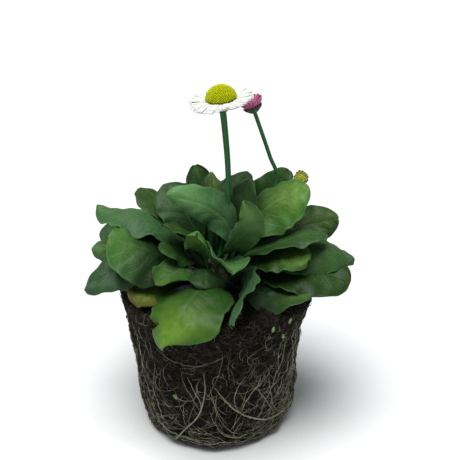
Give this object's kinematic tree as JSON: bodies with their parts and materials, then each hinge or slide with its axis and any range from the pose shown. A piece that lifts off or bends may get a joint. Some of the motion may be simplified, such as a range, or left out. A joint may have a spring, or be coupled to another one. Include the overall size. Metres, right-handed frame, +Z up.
{
  "type": "potted english daisy plant on its bare root ball",
  "caption": "Rosette-leaved daisy with an open white flower head, a half open pink head and a bud, standing on its bare root ball of peat.",
  "frame": {"origin": "centre of the root ball's flat bottom, where the plant rests", "axes": "+Z up; -Y towards the viewer, where the broad yellow-green leaf hangs over the rim; +X to the viewer's right"},
  "size_m": [0.1133, 0.0981, 0.1533],
  "materials": {
    "soil": "dark moist peat, rough and fibrous",
    "root": "thin dry pale roots",
    "crown": "pale green rootstock",
    "stem": "green flower stem with fine hairs",
    "leaf": "matt green leaf with a bluish bloom",
    "yellow_leaf": "pale yellow-green older leaf",
    "bract": "dark green bracts",
    "white_ray": "white rays with faintly pink tips",
    "pink_ray": "magenta-pink young rays",
    "cream_ray": "cream rays of the bud",
    "disc": "yellow florets",
    "green_disc": "yellow-green young florets"
  },
  "bodies": {
    "root": {"soil": "soil", "roots": "root", "crown": "crown", "white_stem": "stem", "white_involucre": "bract", "white_rays": "white_ray", "white_disc": "disc", "pink_stem": "stem", "pink_involucre": "bract", "pink_rays": "pink_ray", "pink_disc": "green_disc", "bud_stem": "stem", "bud_involucre": "bract", "bud_rays": "cream_ray", "bud_disc": "green_disc", "leaf_01": "yellow_leaf", "leaf_02": "leaf", "leaf_03": "leaf", "leaf_04": "leaf", "leaf_05": "leaf", "leaf_06": "leaf", "leaf_07": "leaf", "leaf_08": "leaf", "leaf_09": "leaf", "leaf_10": "leaf", "leaf_11": "leaf", "leaf_12": "leaf", "leaf_13": "leaf", "leaf_14": "leaf", "leaf_15": "leaf", "leaf_16": "leaf", "leaf_17": "leaf", "leaf_18": "leaf", "leaf_19": "leaf", "leaf_20": "leaf", "leaf_21": "leaf", "leaf_22": "leaf", "leaf_23": "leaf", "leaf_24": "leaf", "leaf_25": "leaf", "leaf_26": "leaf", "leaf_27": "leaf", "leaf_28": "leaf", "leaf_29": "leaf", "leaf_30": "leaf", "leaf_31": "leaf", "leaf_32": "leaf", "leaf_33": "leaf", "leaf_34": "leaf", "leaf_35": "leaf", "leaf_36": "leaf", "leaf_37": "leaf", "leaf_38": "leaf"}
  },
  "joints": []
}
